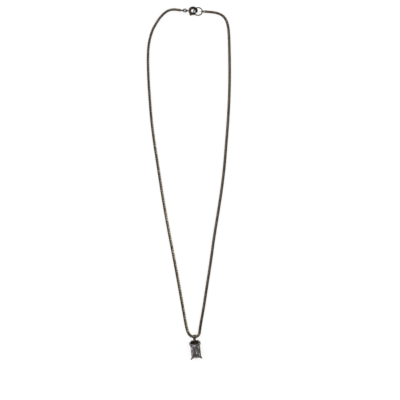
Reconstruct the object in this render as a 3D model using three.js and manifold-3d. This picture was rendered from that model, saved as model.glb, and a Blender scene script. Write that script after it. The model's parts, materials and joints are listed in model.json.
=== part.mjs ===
// A pendant necklace laid out flat: a box chain closed by a spring ring clasp, and a rectangular
// stone in a four-claw basket that hangs from the chain by a loose bail.
// Millimetres. The table is the plane Z = 0, +Y points from the pendant to the clasp and +X to the right.
import * as THREE from "three";
import { ConvexGeometry } from "three/addons/geometries/ConvexGeometry.js";
import { mergeVertices } from "three/addons/utils/BufferGeometryUtils.js";
import Module from "manifold-3d";

const wasm = await Module();
wasm.setup();

// ---------------------------------------------------------------- driving dimensions

const CHAIN_WIDTH = 1.4; // across the flats of the bar that stands for the box links
const CHAIN_STEP = 3; // length of one straight facet of a bar
const CHAIN_GAP = 0.2; // between two neighbouring bars, where one link turns in the next

const SOLDER_GAP = 0.03; // between pieces that are soldered together

const CLASP_AT = [2.3, 96.8, 1.57];
const CLASP_TILT = -22; // about the line of the chain, in degrees
const CLASP_RADIUS = 1.9; // of the tube's centre line
const CLASP_TUBE = 0.78;
const CLASP_BORE = 0.54; // inner radius of the tube
const GAP_START = -58; // the mouth of the clasp, in degrees round its ring
const GAP_END = -20;
const BOLT_RADIUS = 0.41;
const BOLT_NOSE = -16; // the bolt's two ends, in degrees
const BOLT_TAIL = -117;
const LEVER_ANGLE = -113;
const LEVER_HEEL = -129; // where the lever's thumb tab ends
const LEVER_BEAD = 0.36; // radius of the thumb tab at the lever, and at its heel
const LEVER_HEEL_BEAD = 0.24;
const LEVER_BLADE_LENGTH = 0.34; // along the tube
const LEVER_BLADE_HEIGHT = 0.3;
const LEVER_CLEARANCE = 0.1; // between the thumb tab and the tube
const BOLT_TRAVEL = 38; // how far the lever draws the bolt back
const SLOT_MARGIN = 8; // the slot is this much longer than the travel at either end
const SLOT_HEIGHT = 0.44;
const SPRING_STOP = -196; // where the plug behind the spring starts
const STOP_LENGTH = 14;
const STOP_RADIUS = 0.42;
const SPRING_COIL = 0.34; // radius of the coil's centre line
const SPRING_WIRE = 0.07;
const SPRING_TURNS = 7;
const SPRING_MARGIN = 4; // left free at either end of the spring, in degrees

const CLOSING_RING_AT = [5.1, 96.4, 1.67];
const CLOSING_RING_TILT = 34;
const CLOSING_RING_RADIUS = 2.42;
const CLOSING_RING_WIRE = 0.31;

const LOOP_RADIUS = 0.68; // the small soldered rings: clasp eye and chain ends
const LOOP_WIRE = 0.23;
const LEFT_LOOP_ROLL = -20; // about the line of the chain, to lie along the ring it holds
const RIGHT_LOOP_ROLL = 24;
const JUMP_RING_AT = [-2.32, 96.98, 1.5];
const JUMP_RING_TILT = -25;
const JUMP_RING_RADIUS = 0.98;
const JUMP_RING_WIRE = 0.28;

const BAIL_AT = [3.1, -86.75, 1.45]; // where the chain passes through the bail
const BAIL_WALL = 0.38;
const BAIL_WIDTH = 1.8; // over the chain
const BAIL_FOOT = 1.5; // over the lug
const BAIL_NECK = 0.4;
const TAPER_DEPTH = 4; // of the block that trims the bail to its taper
const BAIL_INSIDE = 1.0; // radius of the end that holds the chain
const BAIL_CORNER = 0.6; // inner radius of the two bends at the lug
const BAIL_REACH = 1.48; // from the chain to the middle of the neck's wall
const NOTCH_START = 0.75; // from the chain
const NOTCH_BACK = -0.05; // the neck lies between these heights, measured from the chain
const NOTCH_FRONT = 1.0;

const HEAD_YAW = 6.5; // the pendant hangs a little to one side
const HEAD_PITCH = 9; // its upper end rests on the bail
const PIVOT_LIFT = 0.5; // the lug sits this far above the chain
const STONE_WIDTH = 5.0;
const STONE_LENGTH = 7.5;
const STONE_CROP = 0.75; // the cut corners
const RIM = 0.22; // metal that shows round the stone
const LUG_RADIUS = 0.5;
const LUG_WIRE = 0.17;
const BAR_TOP = -0.42; // the bar's faces, measured from the lug along the pendant
const BAR_BOTTOM = -2.34;
const BAR_WIDTH = 4.64;
const BAR_HEIGHT = 2.3;
const BACK = -0.42; // the basket's back plane, measured from the lug
const GIRDLE = 2.35;
const CROWN = 0.85; // height of the stone above its girdle
const PAVILION = 2.6; // depth of the stone below its girdle
const PRONG = 0.4; // radius of a claw's wire
const CLAW_FOOT = 0.42; // from the back plane to the middle of a claw's foot
const CLAW_SPLAY = 0.35; // the lower left claw is bent this much further out than the others
const RAIL_CORNER = 0.3; // cut off the outer corners of the two gallery rails
const UPPER_RAIL_WALL = 0.3;
const UPPER_RAIL_DROP = 0.75; // from the girdle to its lower face
const UPPER_RAIL_HEIGHT = 0.45;
const LOWER_RAIL_WALL = 0.5;
const LOWER_RAIL_HEIGHT = 0.5;
const LOWER_RAIL_WIDTH = 4.4;
const LOWER_RAIL_LENGTH = 6.9;

// The chain's centre line, from the clasp's side, down the left, through the bail and up the right.
const CHAIN_ROUTE = [
  [-4.22, 97.05, 1.5], [-6.2, 97.4, 1.0], [-8.8, 97.6, 0.75], [-11.6, 97.0, 0.75], [-14.2, 95.2, 0.75],
  [-16.6, 92.6, 0.75], [-18.7, 89.4, 0.75], [-20.5, 86.0, 0.8], [-21.8, 82.0, 0.8], [-22.7, 77.5, 0.85],
  [-23.1, 71.0, 0.85], [-22.9, 60.0, 0.85], [-22.1, 47.0, 0.85], [-21.0, 34.0, 0.85], [-19.3, 21.0, 0.85],
  [-17.3, 8.0, 0.85], [-15.3, -5.0, 0.85], [-13.1, -18.0, 0.85], [-10.7, -31.0, 0.85], [-8.2, -44.0, 0.85],
  [-5.8, -57.0, 0.85], [-3.5, -70.0, 0.85], [-1.9, -79.0, 0.85], [-1.0, -83.0, 0.9], [0.0, -85.2, 1.1],
  [1.35, -86.35, 1.35], [3.1, -86.75, 1.45], [4.75, -86.3, 1.35], [5.8, -84.8, 1.1], [6.2, -82.3, 0.9],
  [6.8, -78.5, 0.85], [8.3, -70.0, 0.85], [10.3, -57.0, 0.85], [12.3, -44.0, 0.85], [14.1, -31.0, 0.85],
  [16.2, -18.0, 0.85], [18.2, -5.0, 0.85], [19.8, 8.0, 0.85], [20.9, 21.0, 0.85], [21.9, 34.0, 0.85],
  [22.6, 47.0, 0.85], [22.9, 60.0, 0.85], [22.8, 73.0, 0.85], [22.5, 83.0, 0.8], [22.0, 88.0, 0.8],
  [20.8, 91.8, 0.75], [18.8, 94.2, 0.75], [16.2, 95.5, 0.75], [13.2, 96.1, 0.75], [10.6, 96.3, 1.0],
  [8.46, 96.4, 1.56],
];

// Where the chain folds in this model, as distances along it from its left end. The bars between
// these places are the rigid lengths, and each place is the joint of one link in the next.
const LEFT_FOLDS = [31, 70.5, 111, 151.5, 192];
const RIGHT_FOLDS = [208, 248.5, 289, 329.5, 369];

// ---------------------------------------------------------------- materials

const darkSilver = new THREE.MeshStandardMaterial({ color: 0x6b6158, roughness: 0.34, metalness: 1 });
const springSteel = new THREE.MeshStandardMaterial({ color: 0x8c8a86, roughness: 0.3, metalness: 1 });
const clearStone = new THREE.MeshStandardMaterial({
  color: 0xb9b4c4, roughness: 0.03, metalness: 0, transparent: true, opacity: 0.5,
});

const necklace = new THREE.Group();

function addTo(group, name, geometry, material = darkSilver) {
  const mesh = new THREE.Mesh(geometry, material);
  mesh.name = name;
  group.add(mesh);
  return mesh;
}

// ---------------------------------------------------------------- curves and solids

const radians = THREE.MathUtils.degToRad;

// A stretch of another curve, measured in millimetres along it.
class Stretch extends THREE.Curve {
  constructor(curve, from, to) {
    super();
    this.curve = curve;
    this.from = from / curve.getLength();
    this.to = to / curve.getLength();
  }
  getPoint(t) {
    return this.curve.getPointAt(THREE.MathUtils.lerp(this.from, this.to, t));
  }
}

// An arc in the XY plane round the origin, in degrees.
class Arc extends THREE.Curve {
  constructor(radius, from, to) {
    super();
    Object.assign(this, { radius, from: radians(from), to: radians(to) });
  }
  getPoint(t) {
    const angle = THREE.MathUtils.lerp(this.from, this.to, t);
    return new THREE.Vector3(Math.cos(angle), Math.sin(angle), 0).multiplyScalar(this.radius);
  }
}

// A coil wound round an arc in the XY plane.
class CoilOnArc extends THREE.Curve {
  constructor(arc, coilRadius, turns) {
    super();
    Object.assign(this, { arc, coilRadius, turns });
  }
  getPoint(t) {
    const centre = this.arc.getPoint(t);
    const outward = centre.clone().normalize();
    const turn = 2 * Math.PI * this.turns * t;
    centre.addScaledVector(outward, this.coilRadius * Math.cos(turn));
    centre.z += this.coilRadius * Math.sin(turn);
    return centre;
  }
}

// A regular polygon with flat sides facing along its axes.
function polygon(acrossFlats, sides) {
  const radius = acrossFlats / 2 / Math.cos(Math.PI / sides);
  const corners = Array.from({ length: sides }, (_, i) => {
    const angle = (2 * Math.PI * (i + 0.5)) / sides;
    return new THREE.Vector2(radius * Math.cos(angle), radius * Math.sin(angle));
  });
  return new THREE.Shape(corners);
}

function sweep(path, radius, sides, steps) {
  return new THREE.ExtrudeGeometry(polygon(2 * radius, sides), { steps, extrudePath: path, bevelEnabled: false });
}

function ring(radius, wire, sides = 8, steps = 20) {
  return new THREE.TorusGeometry(radius, wire, sides, steps);
}

function box(sizeX, sizeY, sizeZ, x = 0, y = 0, z = 0) {
  return new THREE.BoxGeometry(sizeX, sizeY, sizeZ).translate(x, y, z);
}

function toSolid(geometry) {
  const bare = geometry.index ? geometry.toNonIndexed() : geometry.clone();
  bare.deleteAttribute("normal");
  bare.deleteAttribute("uv");
  const merged = mergeVertices(bare, 1e-4);
  return new wasm.Manifold(
    new wasm.Mesh({
      numProp: 3,
      vertProperties: merged.attributes.position.array,
      triVerts: new Uint32Array(merged.index.array),
    }),
  );
}

function toGeometry(solid) {
  const { vertProperties, triVerts, numProp } = solid.getMesh();
  const positions = new Float32Array((vertProperties.length / numProp) * 3);
  for (let i = 0; i < positions.length / 3; i++) {
    positions.set(vertProperties.subarray(i * numProp, i * numProp + 3), i * 3);
  }
  return new THREE.BufferGeometry()
    .setAttribute("position", new THREE.BufferAttribute(positions, 3))
    .setIndex(new THREE.BufferAttribute(triVerts, 1));
}

// ---------------------------------------------------------------- chain

const route = new THREE.CatmullRomCurve3(CHAIN_ROUTE.map((p) => new THREE.Vector3(...p)), false, "catmullrom", 0.5);
route.arcLengthDivisions = 4000;
const chainLength = route.getLength();

function addChainBar(name, from, to) {
  const start = from + (from > 0 ? CHAIN_GAP / 2 : 0);
  const end = to - (to < chainLength ? CHAIN_GAP / 2 : 0);
  const steps = Math.round((end - start) / CHAIN_STEP) * (name.includes("_side_") ? 1 : 2);
  addTo(necklace, name, sweep(new Stretch(route, start, end), CHAIN_WIDTH / 2, 8, steps));
}

addChainBar("chain_left_shoulder", 0, LEFT_FOLDS[0]);
for (let i = 0; i < LEFT_FOLDS.length - 1; i++) {
  addChainBar(`chain_left_side_${LEFT_FOLDS.length - 1 - i}`, LEFT_FOLDS[i], LEFT_FOLDS[i + 1]);
}
addChainBar("chain_bottom", LEFT_FOLDS.at(-1), RIGHT_FOLDS[0]);
for (let i = 0; i < RIGHT_FOLDS.length - 1; i++) {
  addChainBar(`chain_right_side_${i + 1}`, RIGHT_FOLDS[i], RIGHT_FOLDS[i + 1]);
}
addChainBar("chain_right_shoulder", RIGHT_FOLDS.at(-1), chainLength);

// ---------------------------------------------------------------- small rings at the clasp

const loopReach = LOOP_RADIUS + LOOP_WIRE;

// A small soldered ring that stands upright, with its hole facing along Y before it is rolled.
function addLoop(group, name, x, y, z, roll) {
  const loop = addTo(group, name, ring(LOOP_RADIUS, LOOP_WIRE, 6, 14));
  loop.rotation.x = Math.PI / 2 + radians(roll);
  loop.position.set(x, y, z);
}

const chainStart = route.getPointAt(0);
const chainEnd = route.getPointAt(1);
const leftLoopX = chainStart.x + SOLDER_GAP + loopReach;
const rightLoopX = chainEnd.x - SOLDER_GAP - loopReach;
addLoop(necklace, "left_end_loop", leftLoopX, chainStart.y, chainStart.z, LEFT_LOOP_ROLL);
addLoop(necklace, "right_end_loop", rightLoopX, chainEnd.y, chainEnd.z, RIGHT_LOOP_ROLL);

const jumpRing = addTo(necklace, "jump_ring", ring(JUMP_RING_RADIUS, JUMP_RING_WIRE, 8, 16));
jumpRing.position.set(...JUMP_RING_AT);
jumpRing.rotation.x = radians(JUMP_RING_TILT);

const closingRing = addTo(necklace, "closing_ring", ring(CLOSING_RING_RADIUS, CLOSING_RING_WIRE, 8, 22));
closingRing.position.set(...CLOSING_RING_AT);
closingRing.rotation.x = radians(CLOSING_RING_TILT);

// ---------------------------------------------------------------- spring ring clasp

const clasp = new THREE.Group();
clasp.position.set(...CLASP_AT);
clasp.rotation.x = radians(CLASP_TILT);
necklace.add(clasp);

// The tube runs from the far side of the mouth all the way round to its near side, with a slot
// in its outer wall for the lever.
function claspTube() {
  const arc = (extra) => new Arc(CLASP_RADIUS, GAP_END - extra, GAP_START + 360 + extra);
  const outside = toSolid(sweep(arc(0), CLASP_TUBE, 10, 30));
  const bore = toSolid(sweep(arc(2), CLASP_BORE, 10, 32));
  const slotFrom = LEVER_ANGLE + SLOT_MARGIN;
  const slotTo = LEVER_ANGLE - BOLT_TRAVEL - SLOT_MARGIN;
  const outer = CLASP_RADIUS + CLASP_TUBE + 0.2;
  const sector = new THREE.Shape();
  sector.absarc(0, 0, outer, radians(slotTo), radians(slotFrom), false);
  sector.absarc(0, 0, CLASP_RADIUS, radians(slotFrom), radians(slotTo), true);
  const slot = new THREE.ExtrudeGeometry(sector, { depth: SLOT_HEIGHT, bevelEnabled: false, curveSegments: 8 });
  slot.translate(0, 0, -SLOT_HEIGHT / 2);
  return toGeometry(outside.subtract(bore).subtract(toSolid(slot)));
}
addTo(clasp, "clasp_tube", claspTube());

addLoop(clasp, "clasp_eye", -(CLASP_RADIUS + CLASP_TUBE + SOLDER_GAP + loopReach), 0, 0, 0);
const stopArc = new Arc(CLASP_RADIUS, SPRING_STOP - STOP_LENGTH, SPRING_STOP);
addTo(clasp, "clasp_spring_stop", sweep(stopArc, STOP_RADIUS, 8, 3));
addTo(clasp, "clasp_bolt", sweep(new Arc(CLASP_RADIUS, BOLT_TAIL, BOLT_NOSE), BOLT_RADIUS, 10, 14));

// The coil spring fills the bore between the plug and the bolt's tail.
const springArc = new Arc(CLASP_RADIUS, SPRING_STOP + SPRING_MARGIN, BOLT_TAIL - SPRING_MARGIN);
const coil = new CoilOnArc(springArc, SPRING_COIL, SPRING_TURNS);
addTo(clasp, "clasp_spring", sweep(coil, SPRING_WIRE, 5, 84), springSteel);

// The lever is a thin blade on the bolt's tail that leaves through the slot and carries a
// tapered thumb tab.
function claspLever() {
  const foot = CLASP_RADIUS + BOLT_RADIUS + SOLDER_GAP;
  const wall = CLASP_RADIUS + CLASP_TUBE + LEVER_CLEARANCE;
  const tip = wall + LEVER_BEAD;
  const blade = toSolid(box(tip - foot, LEVER_BLADE_LENGTH, LEVER_BLADE_HEIGHT, (tip + foot) / 2, 0, 0));
  const bead = (radius, angle) => {
    const ball = new THREE.SphereGeometry(radius, 10, 8).translate(wall + radius, 0, 0);
    return toSolid(ball.rotateZ(radians(angle)));
  };
  const tab = wasm.Manifold.hull([bead(LEVER_BEAD, 0), bead(LEVER_HEEL_BEAD, LEVER_HEEL - LEVER_ANGLE)]);
  return toGeometry(blade.add(tab));
}
addTo(clasp, "clasp_lever", claspLever()).rotation.z = radians(LEVER_ANGLE);

// ---------------------------------------------------------------- bail

// A flat strip bent into a long loop that stands across the chain. It narrows a little towards
// the pendant, and a notch on either side of its lower wall leaves a neck for the pendant's lug.
function bailGeometry() {
  const wall = BAIL_WALL;
  function outline(grow) {
    const round = BAIL_INSIDE + grow;
    const corner = BAIL_CORNER + grow;
    const neck = -(BAIL_REACH - wall / 2) - grow;
    const path = new THREE.Shape();
    path.absarc(0, 0, round, -Math.PI / 2, Math.PI / 2, false);
    path.absarc(neck + corner, round - corner, corner, Math.PI / 2, Math.PI, false);
    path.absarc(neck + corner, corner - round, corner, Math.PI, 1.5 * Math.PI, false);
    return path;
  }
  const loop = outline(wall);
  loop.holes.push(outline(0));
  const strip = new THREE.ExtrudeGeometry(loop, { depth: BAIL_WIDTH, bevelEnabled: false, curveSegments: 8 });
  strip.translate(0, 0, -BAIL_WIDTH / 2);
  // The outline is drawn in a plane and turned so that its X runs along +Y and its Y along +Z.
  strip.applyMatrix4(
    new THREE.Matrix4().makeBasis(
      new THREE.Vector3(0, 1, 0), new THREE.Vector3(0, 0, 1), new THREE.Vector3(1, 0, 0),
    ),
  );
  const end = BAIL_INSIDE + wall + 0.1;
  const far = -(BAIL_REACH + wall);
  const plan = new THREE.Shape([
    new THREE.Vector2(-BAIL_WIDTH / 2 - 0.01, end), new THREE.Vector2(-BAIL_FOOT / 2, far),
    new THREE.Vector2(BAIL_FOOT / 2, far), new THREE.Vector2(BAIL_WIDTH / 2 + 0.01, end),
  ]);
  const taper = new THREE.ExtrudeGeometry(plan, { depth: TAPER_DEPTH, bevelEnabled: false });
  taper.translate(0, 0, -TAPER_DEPTH / 2);
  const notchHeight = NOTCH_FRONT - NOTCH_BACK;
  const notchX = (BAIL_NECK + BAIL_WIDTH) / 2;
  const notchY = -NOTCH_START - BAIL_REACH / 2;
  let bail = toSolid(strip).intersect(toSolid(taper));
  for (const side of [-1, 1]) {
    const notch = box(BAIL_WIDTH, BAIL_REACH, notchHeight, side * notchX, notchY, 0);
    bail = bail.subtract(toSolid(notch.translate(0, 0, NOTCH_BACK + notchHeight / 2)));
  }
  return toGeometry(bail);
}
addTo(necklace, "bail", bailGeometry()).position.set(...BAIL_AT);

// ---------------------------------------------------------------- pendant head

// The head's own frame has its origin at the lug, its length along -Y and its face towards +Z.
const head = new THREE.Group();
head.position.set(BAIL_AT[0], BAIL_AT[1] - BAIL_REACH, BAIL_AT[2] + PIVOT_LIFT);
head.rotation.order = "ZXY";
head.rotation.z = radians(HEAD_YAW);
head.rotation.x = radians(HEAD_PITCH);
necklace.add(head);

const stoneCentre = BAR_BOTTOM - RIM - SOLDER_GAP - STONE_LENGTH / 2;

// The eight corners of a rectangle with cut corners, at one height.
function croppedRectangle(width, length, crop, z) {
  const [x, y] = [width / 2, length / 2];
  return [
    [x - crop, y], [x, y - crop], [x, crop - y], [x - crop, -y],
    [crop - x, -y], [-x, crop - y], [-x, y - crop], [crop - x, y],
  ].map(([px, py]) => new THREE.Vector3(px, py + stoneCentre, z));
}

// A step cut with a cropped outline: table, two crown steps, a thin girdle and three pavilion
// steps that close on a short keel.
function stoneGeometry() {
  const step = (share, height) =>
    croppedRectangle(
      STONE_WIDTH - 2 * share,
      STONE_LENGTH - 2 * share,
      STONE_CROP * (1 - share / STONE_WIDTH),
      GIRDLE + height,
    );
  const keel = (STONE_LENGTH - STONE_WIDTH) / 2 + 0.4;
  return new ConvexGeometry([
    ...step(1.0, CROWN), ...step(0.42, CROWN * 0.62), ...step(0, 0.08),
    ...step(0, -0.08), ...step(0.75, -PAVILION * 0.42), ...step(1.6, -PAVILION * 0.76),
    new THREE.Vector3(0, stoneCentre + keel, GIRDLE - PAVILION),
    new THREE.Vector3(0, stoneCentre - keel, GIRDLE - PAVILION),
  ]);
}
addTo(head, "stone", stoneGeometry(), clearStone);

// A rectangular rail with its corners filled in as far as the claws that it is soldered to.
function rail(width, length, wall, low, height) {
  const toPath = (Kind, w, l, crop) =>
    new Kind(croppedRectangle(w, l, crop, 0).map((p) => new THREE.Vector2(p.x, p.y)).reverse());
  const outline = toPath(THREE.Shape, width, length, RAIL_CORNER);
  outline.holes.push(toPath(THREE.Path, width - 2 * wall, length - 2 * wall, STONE_CROP));
  return new THREE.ExtrudeGeometry(outline, { depth: height, bevelEnabled: false }).translate(0, 0, low);
}
const upperRail = rail(
  STONE_WIDTH + 2 * RIM, STONE_LENGTH + 2 * RIM, UPPER_RAIL_WALL, GIRDLE - UPPER_RAIL_DROP, UPPER_RAIL_HEIGHT,
);
addTo(head, "upper_gallery", upperRail);
const lowerRail = rail(LOWER_RAIL_WIDTH, LOWER_RAIL_LENGTH, LOWER_RAIL_WALL, BACK, LOWER_RAIL_HEIGHT);
addTo(head, "lower_gallery", lowerRail);

// The bar across the head's upper end carries the lug. Its ends meet the upper pair of claws.
const barAt = (BAR_TOP + BAR_BOTTOM) / 2;
addTo(head, "bail_bar", box(BAR_WIDTH, BAR_TOP - BAR_BOTTOM, BAR_HEIGHT, 0, barAt, BACK + BAR_HEIGHT / 2));

// The lug is a round staple in the plane of the head, with both feet on the bar.
class Staple extends THREE.Curve {
  getPoint(t) {
    const leg = -BAR_TOP - SOLDER_GAP;
    const bend = Math.PI * LUG_RADIUS;
    const along = t * (2 * leg + bend);
    if (along < leg) return new THREE.Vector3(LUG_RADIUS, along - leg, 0);
    if (along > leg + bend) return new THREE.Vector3(-LUG_RADIUS, leg + bend - along, 0);
    const angle = (along - leg) / LUG_RADIUS;
    return new THREE.Vector3(LUG_RADIUS * Math.cos(angle), LUG_RADIUS * Math.sin(angle), 0);
  }
}
addTo(head, "lug", sweep(new Staple(), LUG_WIRE, 8, 18));

// Each claw rises from the back of the basket, bows out past the corner of the stone and bends
// back over its edge. The upper pair start further out, at the ends of the bar. splay bends a
// claw further out above the girdle.
function addClaw(name, side, end, splay = 0) {
  const cornerX = STONE_WIDTH / 2;
  const cornerY = STONE_LENGTH / 2;
  const at = (out, along, z) =>
    new THREE.Vector3(side * (cornerX + out), stoneCentre + end * (cornerY + along), z);
  const foot = end > 0 ? at(0.25, 1.15, BACK + CLAW_FOOT) : at(-0.2, 0, BACK + CLAW_FOOT);
  const path = new THREE.CatmullRomCurve3([
    foot,
    at(0.28, 0.55, GIRDLE - 1.3),
    at(0.36 + splay / 2, 0.45, GIRDLE - 0.5),
    at(0.28 + splay, 0.3, GIRDLE + 0.2),
    at(0.05 + splay, 0.1, GIRDLE + 0.72),
    at(-0.5 + splay / 2, -0.5, GIRDLE + 0.98),
  ]);
  addTo(head, name, sweep(path, PRONG, 8, 12));
}
addClaw("claw_upper_left", -1, 1);
addClaw("claw_upper_right", 1, 1);
addClaw("claw_lower_left", -1, -1, CLAW_SPLAY);
addClaw("claw_lower_right", 1, -1);

export default necklace;
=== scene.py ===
"""A fine box chain necklace with a spring ring clasp and a rectangular stone in a claw basket, laid flat.

Metres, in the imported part's frame: the table is Z = 0, +Y points from the pendant to the clasp
and +X to the right.
"""

import json
import math
import random

import bmesh
import bpy
from mathutils import Matrix, Vector


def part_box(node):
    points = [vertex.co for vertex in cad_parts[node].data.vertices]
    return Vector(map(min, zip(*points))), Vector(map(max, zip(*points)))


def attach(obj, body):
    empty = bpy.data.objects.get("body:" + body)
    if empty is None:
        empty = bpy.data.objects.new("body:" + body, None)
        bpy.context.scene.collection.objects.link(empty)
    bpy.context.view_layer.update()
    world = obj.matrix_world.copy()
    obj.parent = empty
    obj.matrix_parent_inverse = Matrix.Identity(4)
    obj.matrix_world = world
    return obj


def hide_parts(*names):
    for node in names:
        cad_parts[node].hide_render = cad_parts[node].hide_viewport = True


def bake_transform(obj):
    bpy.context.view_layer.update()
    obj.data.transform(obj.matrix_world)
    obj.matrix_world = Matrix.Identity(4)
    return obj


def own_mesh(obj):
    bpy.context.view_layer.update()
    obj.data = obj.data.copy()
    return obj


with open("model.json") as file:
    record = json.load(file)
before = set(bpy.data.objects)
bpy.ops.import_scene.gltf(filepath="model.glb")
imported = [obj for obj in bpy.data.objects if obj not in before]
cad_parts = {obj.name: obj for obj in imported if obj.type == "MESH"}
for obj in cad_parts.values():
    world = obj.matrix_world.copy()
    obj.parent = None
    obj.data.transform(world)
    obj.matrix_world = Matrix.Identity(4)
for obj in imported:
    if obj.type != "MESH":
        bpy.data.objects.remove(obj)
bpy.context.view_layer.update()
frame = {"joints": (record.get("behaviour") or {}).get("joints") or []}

MM = 0.001

# ------------------------------------------------------------------ driving dimensions

# The chain's centre line, from the clasp's side, down the left, through the bail and up the right.
CHAIN_ROUTE = [
    (-0.00422, 0.09705, 0.0015), (-0.0062, 0.0974, 0.001), (-0.0088, 0.0976, 0.00075),
    (-0.0116, 0.097, 0.00075), (-0.0142, 0.0952, 0.00075), (-0.0166, 0.0926, 0.00075),
    (-0.0187, 0.0894, 0.00075), (-0.0205, 0.086, 0.0008), (-0.0218, 0.082, 0.0008),
    (-0.0227, 0.0775, 0.00085), (-0.0231, 0.071, 0.00085), (-0.0229, 0.06, 0.00085),
    (-0.0221, 0.047, 0.00085), (-0.021, 0.034, 0.00085), (-0.0193, 0.021, 0.00085),
    (-0.0173, 0.008, 0.00085), (-0.0153, -0.005, 0.00085), (-0.0131, -0.018, 0.00085),
    (-0.0107, -0.031, 0.00085), (-0.0082, -0.044, 0.00085), (-0.0058, -0.057, 0.00085),
    (-0.0035, -0.07, 0.00085), (-0.0019, -0.079, 0.00085), (-0.001, -0.083, 0.0009),
    (0.0, -0.0852, 0.0011), (0.00135, -0.08635, 0.00135), (0.0031, -0.08675, 0.00145),
    (0.00475, -0.0863, 0.00135), (0.0058, -0.0848, 0.0011), (0.0062, -0.0823, 0.0009),
    (0.0068, -0.0785, 0.00085), (0.0083, -0.07, 0.00085), (0.0103, -0.057, 0.00085),
    (0.0123, -0.044, 0.00085), (0.0141, -0.031, 0.00085), (0.0162, -0.018, 0.00085),
    (0.0182, -0.005, 0.00085), (0.0198, 0.008, 0.00085), (0.0209, 0.021, 0.00085),
    (0.0219, 0.034, 0.00085), (0.0226, 0.047, 0.00085), (0.0229, 0.06, 0.00085),
    (0.0228, 0.073, 0.00085), (0.0225, 0.083, 0.0008), (0.022, 0.088, 0.0008),
    (0.0208, 0.0918, 0.00075), (0.0188, 0.0942, 0.00075), (0.0162, 0.0955, 0.00075),
    (0.0132, 0.0961, 0.00075), (0.0106, 0.0963, 0.001), (0.00846, 0.0964, 0.00156),
]

LINK_LENGTH = 1.37 * MM  # a box link is nearly square, seen through its hole
LINK_WIDTH = 1.44 * MM
LINK_WIRE = 0.26 * MM  # thickness of its walls
LINK_DEPTH = 0.88 * MM  # width of its walls, along the hole
LINK_CORNER = 0.34 * MM
LINK_EDGE = 0.35 * LINK_WIRE  # rounding of the strip's own edges
LINK_PITCH = 0.705 * MM
LINK_PLAY = math.radians(2.5)  # each link lies a little askew

# The chain's roll about its own line: distance along it as a share of its length, and degrees.
CHAIN_ROLL = [
    (0.0, 4), (0.12, 10), (0.3, 24), (0.42, 31), (0.5, 31), (0.58, 24), (0.75, 31), (0.9, 24), (1.0, 8),
]

# Where one chain piece ends and the next begins, as distances along the chain, the bodies along
# the chain, and the distance along it of the joint between each two of them.
# None stands for the chain's end.
CHAIN_CUTS = [0.0, 0.05, 0.09, 0.13, 0.1685, 0.1998, 0.2315, 0.27, 0.31, 0.35, None]
CHAIN_BODIES = [
    "chain_left_shoulder", "chain_left_side_4", "chain_left_side_3", "chain_left_side_2",
    "chain_left_side_1", "chain_bottom", "chain_right_side_1", "chain_right_side_2",
    "chain_right_side_3", "chain_right_side_4", "chain_right_shoulder",
]
CHAIN_FOLDS = [0.031, 0.0705, 0.111, 0.1515, 0.192, 0.208, 0.2485, 0.289, 0.3295, 0.369]
ROUTE_STEPS = 80  # points on the centre line for each stretch of the route

joints = {joint["name"]: joint for joint in frame["joints"]}


def pivot(joint_name):
    return Vector(joints[joint_name]["pos_m"])


def middle(node):
    low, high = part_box(node)
    return (low + high) / 2


# ------------------------------------------------------------------ camera, floor and light

VIEW_CENTRE = (6.2 * MM, -9.7 * MM)
VIEW_WIDTH = 225.5 * MM
CAMERA_HEIGHT = 1.0
SENSOR = 36.0
NEAREST_VIEW = 0.01

FLOOR_HALF_WIDTH = 3.0
FLOOR_DROP = 0.02 * MM  # how far it lies under the table plane
FLOOR_GREY = 0.16
FLOOR_ROUGHNESS = 0.9
FLOOR_SPECULAR = 0.1
FLOOR_GLOW = 0.8

# Each light: name, place, size, power and colour. All point at the middle of the necklace.
LIGHTS = [
    ("key_light", (-0.7, 0.75, 0.8), (1.0, 1.0), 18, (1.0, 0.97, 0.93)),
    ("side_light", (0.95, 0.1, 0.6), (0.5, 1.2), 13, (1.0, 0.97, 0.94)),
    ("front_light", (-0.1, -1.1, 0.7), (1.4, 0.5), 9, (1, 1, 1)),
]
STUDIO_COLOUR = (1.0, 0.97, 0.94)
STUDIO_STRENGTH = 0.4


def make_camera():
    data = bpy.data.cameras.new("camera")
    data.sensor_width = SENSOR
    data.lens = SENSOR * CAMERA_HEIGHT / VIEW_WIDTH
    data.clip_start = NEAREST_VIEW
    camera = bpy.data.objects.new("camera", data)
    camera.location = (*VIEW_CENTRE, CAMERA_HEIGHT)
    bpy.context.scene.collection.objects.link(camera)
    bpy.context.scene.camera = camera


def make_floor():
    size = FLOOR_HALF_WIDTH
    mesh = bpy.data.meshes.new("floor")
    corners = [(-size, -size, 0), (size, -size, 0), (size, size, 0), (-size, size, 0)]
    mesh.from_pydata(corners, [], [(0, 1, 2, 3)])
    floor = bpy.data.objects.new("floor", mesh)
    bpy.context.scene.collection.objects.link(floor)
    floor.location.z = -FLOOR_DROP
    material = bpy.data.materials.new("floor")
    material.use_nodes = True
    shader = material.node_tree.nodes["Principled BSDF"]
    shader.inputs["Base Color"].default_value = (FLOOR_GREY, FLOOR_GREY, FLOOR_GREY, 1)
    shader.inputs["Roughness"].default_value = FLOOR_ROUGHNESS
    shader.inputs["Specular IOR Level"].default_value = FLOOR_SPECULAR
    shader.inputs["Emission Color"].default_value = (1, 1, 1, 1)
    shader.inputs["Emission Strength"].default_value = FLOOR_GLOW
    mesh.materials.append(material)


def make_light(name, place, size, power, colour):
    data = bpy.data.lights.new(name, "AREA")
    data.shape = "RECTANGLE"
    data.size, data.size_y = size
    data.energy = power
    data.color = colour
    light = bpy.data.objects.new(name, data)
    light.location = place
    light.rotation_euler = (-Vector(place)).to_track_quat("-Z", "Y").to_euler()
    bpy.context.scene.collection.objects.link(light)


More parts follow.
